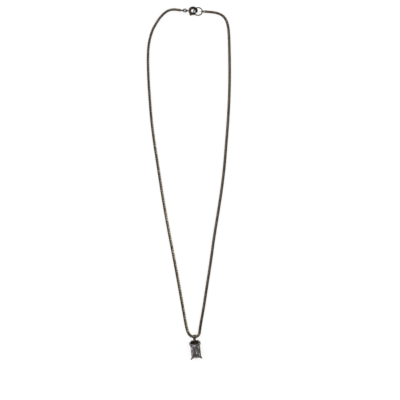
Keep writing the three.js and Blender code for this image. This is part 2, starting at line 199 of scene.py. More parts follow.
def make_studio():
    for light in LIGHTS:
        make_light(*light)
    world = bpy.data.worlds.new("studio")
    world.use_nodes = True
    background = world.node_tree.nodes["Background"]
    background.inputs["Color"].default_value = (*STUDIO_COLOUR, 1)
    background.inputs["Strength"].default_value = STUDIO_STRENGTH
    bpy.context.scene.world = world
    bpy.context.scene.view_settings.view_transform = "Standard"


# ------------------------------------------------------------------ mesh helpers

SMALLEST_END = 0.12  # share of full radius where a rounded rod ends


def make_piece(name, vertices, faces, material):
    """A smooth mesh object from vertices and faces, with its faces turned outwards."""
    mesh = bpy.data.meshes.new(name)
    mesh.from_pydata([tuple(v) for v in vertices], [], faces)
    work = bmesh.new()
    work.from_mesh(mesh)
    bmesh.ops.recalc_face_normals(work, faces=work.faces)
    work.to_mesh(mesh)
    work.free()
    mesh.polygons.foreach_set("use_smooth", [True] * len(mesh.polygons))
    mesh.materials.append(material)
    piece = bpy.data.objects.new(name, mesh)
    bpy.context.scene.collection.objects.link(piece)
    return piece


def ring_faces(rows, columns, closed):
    """Quads of a tube with rows of columns vertices, and its two end caps where it isn't closed."""
    faces = []
    last = rows if closed else rows - 1
    for i in range(last):
        for j in range(columns):
            a, b = i * columns, (i + 1) % rows * columns
            k = (j + 1) % columns
            faces.append((a + j, a + k, b + k, b + j))
    if not closed:
        faces.append(tuple(range(columns)))
        faces.append(tuple((rows - 1) * columns + j for j in range(columns)))
    return faces


def frames_along(points, up, closed=False):
    """For each point of a line: the point, its side and its up direction, square to the line."""
    frames = []
    count = len(points)
    for i, point in enumerate(points):
        after = points[(i + 1) % count] if closed else points[min(i + 1, count - 1)]
        before = points[i - 1] if closed else points[max(i - 1, 0)]
        along = (after - before).normalized()
        side = along.cross(up).normalized()
        frames.append((point, side, side.cross(along).normalized()))
    return frames


def sweep(frames, section):
    """Vertices of a tube: section(i) gives the outline at frame i as (sideways, upwards) pairs."""
    return [p + side * x + up * y for i, (p, side, up) in enumerate(frames) for x, y in section(i)]


def circle(radius, count):
    return [(radius * math.cos(a), radius * math.sin(a)) for a in turns(count)]


def turns(count):
    return [2 * math.pi * i / count for i in range(count)]


def rounded_box(width, height, corner, steps):
    """The outline of a rectangle with rounded corners, anticlockwise."""
    outline = []
    for quarter, (sx, sy) in enumerate([(1, 1), (-1, 1), (-1, -1), (1, -1)]):
        for step in range(steps + 1):
            angle = math.pi / 2 * (quarter + step / steps)
            x = sx * (width / 2 - corner) + corner * math.cos(angle)
            y = sy * (height / 2 - corner) + corner * math.sin(angle)
            outline.append((x, y))
    return outline


def round_ends(count, reach):
    """Shares of full radius along a tube whose two ends are rounded over reach of its rows."""
    shares = []
    for i in range(count):
        near = min(i, count - 1 - i) / reach
        shares.append(math.sqrt(1 - (1 - near) ** 2) if near < 1 else 1)
    return [max(share, SMALLEST_END) for share in shares]


def spline(points, steps):
    """Points on a Catmull-Rom curve through the given ones, the form that the CAD sweeps use."""
    ends = [points[0] * 2 - points[1], *points, points[-1] * 2 - points[-2]]
    curve = []
    for i in range(len(points) - 1):
        p0, p1, p2, p3 = ends[i : i + 4]
        for step in range(steps):
            t = step / steps
            curve.append(hermite(p1, p2, (p2 - p0) / 2, (p3 - p1) / 2, t))
    curve.append(points[-1])
    return curve


def hermite(start, end, leave, arrive, t):
    t2, t3 = t * t, t * t * t
    from_start = start * (2 * t3 - 3 * t2 + 1) + leave * (t3 - 2 * t2 + t)
    return from_start + end * (3 * t2 - 2 * t3) + arrive * (t3 - t2)


def add_bevel(piece, width, segments, angle=35):
    modifier = piece.modifiers.new("edges", "BEVEL")
    modifier.width = width
    modifier.segments = segments
    modifier.limit_method = "ANGLE"
    modifier.angle_limit = math.radians(angle)
    modifier.harden_normals = False


def place(piece, body, nodes, slot):
    """The piece rides on its body and stands for its CAD nodes."""
    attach(piece, body)
    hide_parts(*nodes)


# ------------------------------------------------------------------ materials

NOISE_LOW, NOISE_HIGH = 0.3, 0.7  # most of a noise texture's values lie between these

# Each metal: dark and light tarnish, patches per metre, and the roughness of light and dark spots. In the two
# darker copies the colours are painted shade as well as tarnish.
METALS = {
    "chain_metal": ((0.04, 0.029, 0.019), (0.17, 0.134, 0.098), 700, (0.2, 0.42)),
    "dark_silver": ((0.03, 0.022, 0.016), (0.16, 0.13, 0.1), 420, (0.16, 0.4)),
    # A darker copy of the chain metal: painted shade for every second link.
    "chain_painted_shade": ((0.01, 0.007, 0.005), (0.06, 0.045, 0.033), 700, (0.26, 0.46)),
    # A darker copy of the silver: painted shade for the rings, the clasp, the bar and the lug.
    "painted_shade_silver": ((0.01, 0.007, 0.006), (0.07, 0.054, 0.042), 420, (0.14, 0.32)),
}
TARNISH_DETAIL = 4
TARNISH_LOW, TARNISH_MIDDLE, TARNISH_HIGH = 0.34, 0.52, 0.7
SCRATCH_SCALE, SCRATCH_DETAIL = 5200, 3
SCRATCH_STRETCH = (1, 6, 1)
SCRATCH_DEPTH, SCRATCH_STRENGTH = 0.012 * MM, 0.35

STEEL_SCALE, STEEL_DETAIL = 6000, 2
STEEL_STRETCH = (1, 1, 5)
STEEL_STOPS = [(0.35, (0.3, 0.29, 0.28)), (0.65, (0.46, 0.45, 0.43))]
STEEL_ROUGHNESS = (0.22, 0.36)

STONE_IOR = 2.15
STREAK_SCALE, STREAK_DETAIL = 1050, 2
STREAK_STRETCH = (1, 0.26, 1)
# Painted shade and reflection: the stone's colour goes from near black to grey in streaks along its length,
# standing in for its facets' reflections.
STONE_REFLECTION_STREAKS = [(0.4, (0.025, 0.02, 0.02)), (0.5, (0.16, 0.145, 0.145)), (0.6, (0.55, 0.52, 0.53))]
STONE_ROUGHNESS = (0.0, 0.03)
# A painted lilac reflection at the stone's upper left corner.
LILAC = (0.42, 0.38, 0.66)
LILAC_PLACE = (-1.5 * MM, -3.4 * MM, 2.4 * MM)  # in the head's own frame
LILAC_REACH = 1.9 * MM


def new_material(name):
    material = bpy.data.materials.new(name)
    material.use_nodes = True
    tree = material.node_tree
    return material, tree, tree.nodes["Principled BSDF"]


def add_noise(tree, scale, detail, stretch=(1, 1, 1)):
    """A noise texture in the object's own coordinates. scale is in waves per metre."""
    coordinates = tree.nodes.new("ShaderNodeTexCoord")
    mapping = tree.nodes.new("ShaderNodeMapping")
    mapping.inputs["Scale"].default_value = stretch
    noise = tree.nodes.new("ShaderNodeTexNoise")
    noise.inputs["Scale"].default_value = scale
    noise.inputs["Detail"].default_value = detail
    tree.links.new(coordinates.outputs["Object"], mapping.inputs["Vector"])
    tree.links.new(mapping.outputs["Vector"], noise.inputs["Vector"])
    return noise.outputs["Fac"]


def add_ramp(tree, value, stops):
    """A colour ramp over a value. stops are (place, colour) pairs."""
    ramp = tree.nodes.new("ShaderNodeValToRGB")
    elements = ramp.color_ramp.elements
    while len(elements) < len(stops):
        elements.new(0.5)
    for element, (at, colour) in zip(elements, stops):
        element.position = at
        element.color = (*colour, 1)
    tree.links.new(value, ramp.inputs["Fac"])
    return ramp.outputs["Color"]


def add_range(tree, value, low, high):
    """Maps a noise value to a range."""
    node = tree.nodes.new("ShaderNodeMapRange")
    node.inputs["From Min"].default_value = NOISE_LOW
    node.inputs["From Max"].default_value = NOISE_HIGH
    node.inputs["To Min"].default_value = low
    node.inputs["To Max"].default_value = high
    tree.links.new(value, node.inputs["Value"])
    return node.outputs["Result"]


def add_bump(tree, shader, value, depth, strength):
    bump = tree.nodes.new("ShaderNodeBump")
    bump.inputs["Strength"].default_value = strength
    bump.inputs["Distance"].default_value = depth
    tree.links.new(value, bump.inputs["Height"])
    tree.links.new(bump.outputs["Normal"], shader.inputs["Normal"])


def tarnished_metal(name, dark, light, patches, roughness):
    """Polished silver under a dark, uneven tarnish, with fine handling scratches. Given darker colours, it
    paints shade as well.
    """
    material, tree, shader = new_material(name)
    shader.inputs["Metallic"].default_value = 1.0
    tarnish = add_noise(tree, patches, TARNISH_DETAIL)
    middle_tone = tuple((a + b) / 2 for a, b in zip(dark, light))
    stops = [(TARNISH_LOW, dark), (TARNISH_MIDDLE, middle_tone), (TARNISH_HIGH, light)]
    tree.links.new(add_ramp(tree, tarnish, stops), shader.inputs["Base Color"])
    scratches = add_noise(tree, SCRATCH_SCALE, SCRATCH_DETAIL, SCRATCH_STRETCH)
    of_light_spots, of_dark_spots = roughness
    tree.links.new(add_range(tree, tarnish, of_dark_spots, of_light_spots), shader.inputs["Roughness"])
    add_bump(tree, shader, scratches, SCRATCH_DEPTH, SCRATCH_STRENGTH)
    return material


def steel_metal():
    """Bright spring steel with fine lines."""
    material, tree, shader = new_material("spring_steel")
    shader.inputs["Metallic"].default_value = 1.0
    lines = add_noise(tree, STEEL_SCALE, STEEL_DETAIL, STEEL_STRETCH)
    tree.links.new(add_ramp(tree, lines, STEEL_STOPS), shader.inputs["Base Color"])
    tree.links.new(add_range(tree, lines, *STEEL_ROUGHNESS), shader.inputs["Roughness"])
    return material


def stone_glass():
    """Clear stone whose colour is painted: dark and light streaks along its length paint the shade and
    reflections of its long facets, and a lilac zone at its upper left corner paints a reflection.
    """
    material, tree, shader = new_material("clear_stone")
    shader.inputs["Transmission Weight"].default_value = 1.0
    shader.inputs["IOR"].default_value = STONE_IOR
    streaks = add_noise(tree, STREAK_SCALE, STREAK_DETAIL, STREAK_STRETCH)
    grey = add_ramp(tree, streaks, STONE_REFLECTION_STREAKS)
    coordinates = tree.nodes.new("ShaderNodeTexCoord")
    zone = tree.nodes.new("ShaderNodeMapping")
    zone.vector_type = "TEXTURE"
    zone.inputs["Location"].default_value = head_point(*LILAC_PLACE)
    zone.inputs["Scale"].default_value = (LILAC_REACH, LILAC_REACH, LILAC_REACH * 2)
    fade = tree.nodes.new("ShaderNodeTexGradient")
    fade.gradient_type = "SPHERICAL"
    mix = tree.nodes.new("ShaderNodeMix")
    mix.data_type = "RGBA"
    mix.inputs["B"].default_value = (*LILAC, 1)
    tree.links.new(coordinates.outputs["Object"], zone.inputs["Vector"])
    tree.links.new(zone.outputs["Vector"], fade.inputs["Vector"])
    tree.links.new(fade.outputs["Fac"], mix.inputs["Factor"])
    tree.links.new(grey, mix.inputs["A"])
    tree.links.new(mix.outputs["Result"], shader.inputs["Base Color"])
    tree.links.new(add_range(tree, streaks, *STONE_ROUGHNESS), shader.inputs["Roughness"])
    return material


# ------------------------------------------------------------------ chain


def chain_line():
    """The chain's centre line as closely spaced points, with the distance along it at each."""
    points = spline([Vector(p) for p in CHAIN_ROUTE], ROUTE_STEPS)
    distances = [0.0]
    for before, after in zip(points, points[1:]):
        distances.append(distances[-1] + (after - before).length)
    return points, distances


def at_distance(line, distance):
    """The point at a distance along a line of points, and the line's direction there."""
    points, distances = line
    low, high = 0, len(points) - 2
    while low < high:
        middle_index = (low + high + 1) // 2
        if distances[middle_index] <= distance:
            low = middle_index
        else:
            high = middle_index - 1
    span = points[low + 1] - points[low]
    share = (distance - distances[low]) / (distances[low + 1] - distances[low])
    return points[low] + span * share, span.normalized()


def roll_at(share):
    """The chain's roll, in radians, at a share of its length."""
    for (s0, r0), (s1, r1) in zip(CHAIN_ROLL, CHAIN_ROLL[1:]):
        if share <= s1:
            t = (share - s0) / (s1 - s0)
            return math.radians(r0 + (r1 - r0) * t * t * (3 - 2 * t))
    return math.radians(CHAIN_ROLL[-1][1])


def link_shape():
    """One box link: a loop of flat strip round the Y axis, with its length along X."""
    half_x, half_z = (LINK_LENGTH - LINK_WIRE) / 2, (LINK_WIDTH - LINK_WIRE) / 2
    corner = LINK_CORNER - LINK_WIRE / 2
    path = rounded_box(2 * half_x, 2 * half_z, corner, steps=4)
    outline = rounded_box(LINK_WIRE, LINK_DEPTH, LINK_EDGE, steps=2)
    vertices = []
    for x, z in path:
        inner_x = max(corner - half_x, min(half_x - corner, x))
        inner_z = max(corner - half_z, min(half_z - corner, z))
        outward = Vector((x - inner_x, 0, z - inner_z)).normalized()
        vertices += [Vector((x, y, z)) + outward * out for out, y in outline]
    return vertices, ring_faces(len(path), len(outline), True)


def link_turn(number, share, along):
    """How a link is turned, by its number, its share of the chain's length and the line's direction."""
    dice = random.Random(number)
    roll = roll_at(share) + (number % 2) * math.pi / 2 + dice.uniform(-LINK_PLAY, LINK_PLAY)
    side = along.cross(Vector((0, 0, 1))).normalized()
    up = side.cross(along)
    across = side * math.cos(roll) + up * math.sin(roll)
    upward = along.cross(across) * -1
    return Matrix((along, across, upward)).transposed()


def links_between(start, end, line, length, shape):
    """Vertices, faces and each face's metal, 0 or 1, for the links between two distances."""
    link_vertices, link_faces = shape
    count = round(length / LINK_PITCH)
    pitch = length / count
    vertices, faces, metal_of_face = [], [], []
    for i in range(count):
        distance = (i + 0.5) * pitch
        if not start <= distance < end:
            continue
        point, along = at_distance(line, distance)
        turn = link_turn(i, distance / length, along)
        first = len(vertices)
        vertices += [point + turn @ v for v in link_vertices]
        faces += [tuple(first + k for k in face) for face in link_faces]
        # Odd links get metal 1, the darker copy that paints shade on them.
        metal_of_face += [i % 2] * len(link_faces)
    return vertices, faces, metal_of_face


def make_chain_piece(index, line, length, shape, metals):
    """The links between two cuts, across the joint that lies between them.

    Every second link gets the darker metal, painted shade on the links whose flats face sideways."""
    start, end = CHAIN_CUTS[index], CHAIN_CUTS[index + 1] or length
    vertices, faces, metal_of_face = links_between(start, end, line, length, shape)
    piece = make_piece(f"chain_links_{index + 1}", vertices, faces, metals[0])
    piece.data.materials.append(metals[1])
    piece.data.polygons.foreach_set("material_index", metal_of_face)
    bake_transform(piece)
    return piece


def make_chain(metals):
    line = chain_line()
    length = line[1][-1]
    shape = link_shape()
    pieces = [make_chain_piece(i, line, length, shape, metals) for i in range(len(CHAIN_FOLDS))]
    for piece, node in zip(pieces, CHAIN_BODIES):
        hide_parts(node)
    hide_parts(CHAIN_BODIES[-1])


# ------------------------------------------------------------------ rings

UPRIGHT = Matrix.Rotation(math.pi / 2, 3, "X")
LOOP_RADIUS = 0.68 * MM
LOOP_WIRE = 0.23 * MM
LOOP_ROLL = {"left": -20, "right": 24}  # degrees, as are the tilts below
JUMP_RING_RADIUS = 0.98 * MM
JUMP_RING_WIRE = 0.28 * MM
JUMP_RING_TILT = -25
CLOSING_RING_RADIUS = 2.42 * MM
CLOSING_RING_WIRE = 0.31 * MM
CLOSING_RING_TILT = 34
SMALL_RING_ROWS = 48
SEAM_HEIGHT, SEAM_REACH = 0.14, 0.2  # a share of the wire's radius, and an angle in radians
SEAM_DIP, SEAM_DIP_REACH = 0.2, 0.05


def make_ring(name, centre, turn, radius, wire, material, rows=72, columns=14):
    """A ring of round wire in the XY plane before it is turned, closed by a solder seam at its left."""
    vertices = []
    for a in turns(rows):
        from_seam = abs(a - math.pi)
        thick = wire * (1 + SEAM_HEIGHT * math.exp(-((from_seam / SEAM_REACH) ** 2)))
        thick -= wire * SEAM_DIP * math.exp(-((from_seam / SEAM_DIP_REACH) ** 2))
        outward = Vector((math.cos(a), math.sin(a), 0))
        for x, z in circle(thick, columns):
            local = outward * (radius + x) + Vector((0, 0, z))
            vertices.append(Vector(centre) + turn @ local)
    return make_piece(name, vertices, ring_faces(rows, columns, True), material)


def tilted(degrees):
    """A turn about X, which is about the line of the chain where it meets the clasp."""
    return Matrix.Rotation(math.radians(degrees), 3, "X")


def make_loose_rings(metal):
    for side, roll in LOOP_ROLL.items():
        node = f"{side}_end_loop"
        loop = make_ring(f"{side}_end_ring", middle(node), tilted(roll) @ UPRIGHT, LOOP_RADIUS, LOOP_WIRE,
                         metal, SMALL_RING_ROWS)
        place(loop, f"chain_{side}_shoulder", [node], "dark_silver")
    jump = make_ring("jump_ring_wire", pivot("jump_ring_roll"), tilted(JUMP_RING_TILT), JUMP_RING_RADIUS,
                     JUMP_RING_WIRE, metal)
    place(jump, "jump_ring", ["jump_ring"], "dark_silver")
    closing = make_ring("closing_ring_wire", pivot("closing_ring_roll"), tilted(CLOSING_RING_TILT),
                        CLOSING_RING_RADIUS, CLOSING_RING_WIRE, metal, rows=96, columns=16)
    place(closing, "closing_ring", ["closing_ring"], "dark_silver")


# ------------------------------------------------------------------ spring ring clasp

# Angles are in degrees. All but the tilt are measured round the clasp, anticlockwise from +X.
CLASP_TILT = -22
CLASP_RADIUS = 1.9 * MM
CLASP_TUBE = 0.78 * MM
CLASP_BORE = 0.54 * MM
GAP_START, GAP_END = -58, -20
BOLT_RADIUS = 0.41 * MM
BOLT_NOSE, BOLT_TAIL = -16, -117
LEVER_ANGLE, LEVER_HEEL = -113, -129
LEVER_BEAD, LEVER_HEEL_BEAD = 0.36 * MM, 0.24 * MM
BOLT_TRAVEL = 38
SLOT_MARGIN = 8
SLOT_HALF_HEIGHT = 0.22 * MM
SLOT_COLUMNS, WALL_COLUMNS = 4, 28  # faces round the tube's section, within the slot's height and beyond it
ROWS_TO_SLOT, ROWS_OF_SLOT, ROWS_PAST_SLOT = 14, 16, 48
MOUTH_BEVEL = 0.05 * MM
SPRING_STOP = -196
STOP_LENGTH, STOP_RADIUS = 14, 0.42 * MM
SPRING_COIL, SPRING_WIRE, SPRING_TURNS = 0.34 * MM, 0.07 * MM, 7
SPRING_MARGIN = 4  # degrees left free at either end of the spring
STEPS_PER_TURN = 24
SPRING_COLUMNS = 8
ROD_END_ROWS, SPRING_END_ROWS = 4, 3  # rows over which an end is rounded
LEVER_CLEARANCE = 0.1 * MM  # between the thumb tab and the tube
LEVER_STEM_WIDTH, LEVER_STEM_HEIGHT = 0.17 * MM, 0.15 * MM  # half sizes of its oval section
LEVER_STEM_OVERLAP = 0.25 * MM  # how far the stem goes into the thumb tab
LEVER_COLUMNS, STEM_ROWS, TAB_ROWS = 16, 6, 26
TAB_FLATNESS = 0.9
TAB_SMALLEST_END = 0.08  # share of full radius where the thumb tab ends
SOLDER_GAP = 0.03 * MM

clasp_turn = tilted(CLASP_TILT)


def clasp_point(angle, outward, height):
    """A point by its angle round the clasp in degrees, and its place in the tube's section."""
    a = math.radians(angle)
    local = Vector((math.cos(a), math.sin(a), 0)) * (CLASP_RADIUS + outward) + Vector((0, 0, height))
    return pivot("clasp_roll") + clasp_turn @ local


def spread(start, end, count):
    return [start + (end - start) * i / count for i in range(count)]


def tube_wall_faces(rows, columns, kept):
    """The kept faces of a tube, on its outer and inner sheet of vertices, and the edges between the two."""
    inner = rows * columns
    faces = []
    for i, j in sorted(kept):
        k = (j + 1) % columns
        here, after = i * columns, (i + 1) * columns
        quad = (here + j, here + k, after + k, after + j)
        faces += [quad, tuple(v + inner for v in reversed(quad))]
        edges = {
            (-1, 0): (quad[0], quad[1]), (1, 0): (quad[2], quad[3]),
            (0, -1): (quad[3], quad[0]), (0, 1): (quad[1], quad[2]),
        }
        for (di, dj), (a, b) in edges.items():
            if (i + di, (j + dj) % columns) not in kept:
                faces.append((b, a, a + inner, b + inner))
    return faces


def make_clasp_tube(metal):
    """The C of tube with its open mouth, and the slot along its outer wall for the lever."""
    slot_from = LEVER_ANGLE + SLOT_MARGIN
    slot_to = LEVER_ANGLE - BOLT_TRAVEL - SLOT_MARGIN
    slot_angle = math.degrees(math.asin(SLOT_HALF_HEIGHT / CLASP_TUBE))
    angles = [
        *spread(GAP_START, slot_from, ROWS_TO_SLOT), *spread(slot_from, slot_to, ROWS_OF_SLOT),
        *spread(slot_to, GAP_END - 360, ROWS_PAST_SLOT), GAP_END - 360,
    ]
    around = [
        *spread(-slot_angle, slot_angle, SLOT_COLUMNS), *spread(slot_angle, 360 - slot_angle, WALL_COLUMNS),
    ]
    rows, columns = len(angles), len(around)
    vertices = []
    for radius in (CLASP_TUBE, CLASP_BORE):
        for angle in angles:
            for v in around:
                section = math.radians(v)
                vertices.append(clasp_point(angle, radius * math.cos(section), radius * math.sin(section)))
    kept = {
        (i, j)
        for i in range(rows - 1)
        for j in range(columns)
        if not (j < SLOT_COLUMNS and slot_to <= (angles[i] + angles[i + 1]) / 2 <= slot_from)
    }
    faces = tube_wall_faces(rows, columns, kept)
    used = sorted({v for face in faces for v in face})
    place_of = {v: n for n, v in enumerate(used)}
    tube = make_piece("clasp_body_tube", [vertices[v] for v in used],
                      [tuple(place_of[v] for v in face) for face in faces], metal)
    add_bevel(tube, MOUTH_BEVEL, segments=2, angle=50)
    place(tube, "clasp", ["clasp_tube"], "dark_silver")


def clasp_rod(name, start, end, radius, metal, rows, columns):
    """A round rod inside the clasp's tube, with rounded ends."""
    shares = round_ends(rows, ROD_END_ROWS)
    vertices = []
    for i in range(rows):
        angle = start + (end - start) * i / (rows - 1)
        for x, z in circle(radius * shares[i], columns):
            vertices.append(clasp_point(angle, x, z))
    return make_piece(name, vertices, ring_faces(rows, columns, False), metal)


def make_clasp_spring(steel):
    """The coil between the plug and the bolt."""
    steps = STEPS_PER_TURN * SPRING_TURNS
    start, end = SPRING_STOP + SPRING_MARGIN, BOLT_TAIL - SPRING_MARGIN
    points = []
    for i in range(steps + 1):
        winding = 2 * math.pi * SPRING_TURNS * i / steps
        angle = start + (end - start) * i / steps
        points.append(clasp_point(angle, SPRING_COIL * math.cos(winding), SPRING_COIL * math.sin(winding)))
    frames = frames_along(points, clasp_turn @ Vector((0, 0, 1)))
    shares = round_ends(len(frames), SPRING_END_ROWS)
    vertices = sweep(frames, lambda i: circle(SPRING_WIRE * shares[i], SPRING_COLUMNS))
    faces = ring_faces(len(frames), SPRING_COLUMNS, False)
    spring = make_piece("clasp_coil_spring", vertices, faces, steel)
    place(spring, "clasp", ["clasp_spring"], "spring_steel")
    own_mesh(spring)


def make_clasp_inside(metal, steel):
    """The bolt, the plug behind the spring, and the spring."""
    bolt = clasp_rod("clasp_bolt_rod", BOLT_TAIL, BOLT_NOSE, BOLT_RADIUS, metal, rows=48, columns=16)
    place(bolt, "clasp_trigger", ["clasp_bolt"], "dark_silver")
    stop = clasp_rod("clasp_stop_plug", SPRING_STOP - STOP_LENGTH, SPRING_STOP, STOP_RADIUS, metal,
                     rows=14, columns=14)
    place(stop, "clasp", ["clasp_spring_stop"], "dark_silver")
    make_clasp_spring(steel)


def lever_stem(foot, wall):
    """Vertices of the stem, which comes out of the slot."""
    vertices = []
    for i in range(STEM_ROWS):
        out = foot + (wall + LEVER_STEM_OVERLAP - foot) * i / (STEM_ROWS - 1)
        across = math.degrees(LEVER_STEM_WIDTH / (CLASP_RADIUS + out))
        for x, z in circle(1, LEVER_COLUMNS):
            vertices.append(clasp_point(LEVER_ANGLE + across * x, out, LEVER_STEM_HEIGHT * z))
    return vertices


def lever_tab(wall):
    """Vertices of the thumb tab, which lies along the tube and tapers to its heel."""
    vertices = []
    reach = CLASP_RADIUS + wall
    start = LEVER_ANGLE + math.degrees(LEVER_BEAD / (reach + LEVER_BEAD))
    end = LEVER_HEEL - math.degrees(LEVER_HEEL_BEAD / (reach + LEVER_HEEL_BEAD))
    for i in range(TAB_ROWS):
        share = (1 - math.cos(math.pi * i / (TAB_ROWS - 1))) / 2
        angle = start + (end - start) * share
        radius = LEVER_BEAD + (LEVER_HEEL_BEAD - LEVER_BEAD) * share
        from_end = min(abs(angle - start), abs(angle - end)) * math.pi / 180 * (reach + radius)
        inside = min(from_end / radius, 1)
        thick = radius * max(math.sqrt(1 - (1 - inside) ** 2), TAB_SMALLEST_END)
        for x, z in circle(thick, LEVER_COLUMNS):
            vertices.append(clasp_point(angle, wall + radius + x, z * TAB_FLATNESS))
    return vertices


def make_clasp_lever(metal):
    stem = lever_stem(BOLT_RADIUS + SOLDER_GAP, CLASP_TUBE + LEVER_CLEARANCE)
    tab = lever_tab(CLASP_TUBE + LEVER_CLEARANCE)
    faces = ring_faces(STEM_ROWS, LEVER_COLUMNS, False)
    faces += [tuple(len(stem) + v for v in face) for face in ring_faces(TAB_ROWS, LEVER_COLUMNS, False)]
    lever = make_piece("clasp_thumb_lever", stem + tab, faces, metal)
    place(lever, "clasp_trigger", ["clasp_lever"], "dark_silver")


def make_clasp(metal, steel):
    make_clasp_tube(metal)
    make_clasp_inside(metal, steel)
    make_clasp_lever(metal)
    seam_to_tube = Matrix.Rotation(math.pi, 3, "Z")
    eye = make_ring("clasp_eye_ring", middle("clasp_eye"), clasp_turn @ UPRIGHT @ seam_to_tube,
                    LOOP_RADIUS, LOOP_WIRE, metal, SMALL_RING_ROWS)
    place(eye, "clasp", ["clasp_eye"], "dark_silver")


# ------------------------------------------------------------------ bail

BAIL_WALL = 0.38 * MM
BAIL_INSIDE = 1.0 * MM
BAIL_WIDTH = 1.8 * MM
BAIL_FOOT = 1.5 * MM
BAIL_NECK = 0.4 * MM
BAIL_REACH = 1.48 * MM
BAIL_CORNER = 0.6 * MM
NOTCH_START = 0.75 * MM
NOTCH_BACK, NOTCH_FRONT = -0.05 * MM, 1.0 * MM
NOTCH_SOFT = 0.12 * MM
BAIL_CROWN = 0.17 * MM  # how far the outer face falls towards its edges
BAIL_EDGE = 0.25 * BAIL_WALL  # rounding of the strip's own edges
FOOT_PAD = 0.24 * MM
PAD_FADE = 1.5 * NOTCH_SOFT  # height over which the pad fades out below the notch
BEND_STEPS, CORNER_STEPS, STRAIGHT_STEPS = 48, 36, 8


def arc(centre, radius, start, end, count):
    """Points (y, z) on an arc in the bail's plane, without its last one."""
    angles = [math.radians(a) for a in spread(start, end, count)]
    return [(centre[0] + radius * math.cos(a), centre[1] + radius * math.sin(a)) for a in angles]


def ease(value, low, high):
    """0 below low, 1 above high, and a smooth change between."""
    t = max(0.0, min(1.0, (value - low) / (high - low)))
    return t * t * (3 - 2 * t)


def bail_width(y, z):
    """Width of the strip: wide over the chain, a little less at the foot, and the neck in its notch."""
    top, foot = BAIL_INSIDE + BAIL_WALL, -BAIL_REACH - BAIL_WALL
    wide = BAIL_FOOT + (BAIL_WIDTH - BAIL_FOOT) * (y - foot) / (top - foot)
    notch = ease(z, NOTCH_BACK - NOTCH_SOFT, NOTCH_BACK)
    notch *= 1 - ease(z, NOTCH_FRONT, NOTCH_FRONT + NOTCH_SOFT)
    notch *= 1 - ease(y, -NOTCH_START - NOTCH_SOFT, -NOTCH_START)
    return wide + (BAIL_NECK - wide) * notch


def foot_pad(y, z):
    """How far the outer face stands out under the pendant's bar, below the notch."""
    along = ease(-y, BAIL_INSIDE, BAIL_REACH)
    below_notch = 1 - ease(z, NOTCH_BACK - PAD_FADE, NOTCH_BACK)
    return FOOT_PAD * along * below_notch * ease(z, -BAIL_INSIDE, -BAIL_CORNER)


def make_bail(metal):
    """A flat strip with a crowned outer face, bent into a closed loop across the chain."""
    centre = pivot("bail_swing")
    middle_radius = BAIL_INSIDE + BAIL_WALL / 2
    corner_radius = BAIL_CORNER + BAIL_WALL / 2
    corner_y = -(BAIL_REACH - BAIL_WALL / 2) + BAIL_CORNER
    corner_z = BAIL_INSIDE - BAIL_CORNER
    loop = arc((0, 0), middle_radius, -90, 90, BEND_STEPS)
    loop += [(corner_y * i / STRAIGHT_STEPS, middle_radius) for i in range(STRAIGHT_STEPS)]
    loop += arc((corner_y, corner_z), corner_radius, 90, 180, CORNER_STEPS)
    loop += [(corner_y - corner_radius, z) for z in spread(corner_z, -corner_z, STRAIGHT_STEPS)]
    loop += arc((corner_y, -corner_z), corner_radius, 180, 270, CORNER_STEPS)
    loop += [(corner_y * (1 - i / STRAIGHT_STEPS), -middle_radius) for i in range(STRAIGHT_STEPS)]
    points = [centre + Vector((0, y, z)) for y, z in loop]
    frames = frames_along(points, Vector((1, 0, 0)), closed=True)

    def section(i):
        width = bail_width(*loop[i])
        outline = rounded_box(BAIL_WALL, width, BAIL_EDGE, steps=5)
        pad = foot_pad(*loop[i])
        return [(x + pad - BAIL_CROWN * (2 * y / width) ** 2 if x > 0 else x, y) for x, y in outline]

    columns = len(section(0))
    bail = make_piece("bail_strip", sweep(frames, section), ring_faces(len(frames), columns, True), metal)
    place(bail, "bail", ["bail"], "dark_silver")


# ------------------------------------------------------------------ pendant head

HEAD_YAW, HEAD_PITCH = 6.5, 9  # degrees
STONE_WIDTH, STONE_LENGTH, STONE_CROP = 5.0 * MM, 7.5 * MM, 0.75 * MM
RIM = 0.22 * MM
BAR_TOP, BAR_BOTTOM = -0.42 * MM, -2.34 * MM
STONE_CENTRE = BAR_BOTTOM - RIM - SOLDER_GAP - STONE_LENGTH / 2
BAR_WIDTH, BAR_HEIGHT = 4.64 * MM, 2.3 * MM
BAR_CORNER, BAR_BEVEL = 0.28 * MM, 0.05 * MM
BAR_EDGE = [(0, 0.14), (0.05, 0.05), (0.16, 0)]  # mm from its lower or upper face, and mm in from its sides
BACK = -0.42 * MM
GIRDLE = 2.35 * MM
CROWN = 0.85 * MM
PAVILION = 2.6 * MM
LUG_RADIUS, LUG_WIRE = 0.5 * MM, 0.17 * MM
LUG_FLARE, LUG_FLARE_ROWS = 0.85, 3.5
LUG_LEG_STEPS, LUG_BEND_STEPS, LUG_COLUMNS = 10, 36, 14
PRONG = 0.4 * MM
CLAW_SPLAY = 0.35
CLAW_TAPER = 0.12
CLAW_TIP_ROWS, CLAW_COLUMNS = 7, 16
CLAW_FOOT = 0.42 * MM  # from the back plane to the middle of a claw's foot
UPPER_FOOT, LOWER_FOOT = (0.25, 1.15), (-0.2, 0)  # mm outwards and along the head
CLAW_STEPS = 10  # rows between two points of its line
CLAW_TIP_FLAT = 0.004  # square of the share of full radius where the tip ends
# Points on a claw, in mm from the stone's corner: outwards, along the head and up from the girdle,
# and the share of the splay that is added outwards.
CLAW_LINE = [
    (0.28, 0.55, -1.3, 0), (0.36, 0.45, -0.5, 0.5), (0.28, 0.3, 0.2, 1), (0.05, 0.1, 0.72, 1),
    (-0.5, -0.5, 0.98, 0.5),
]
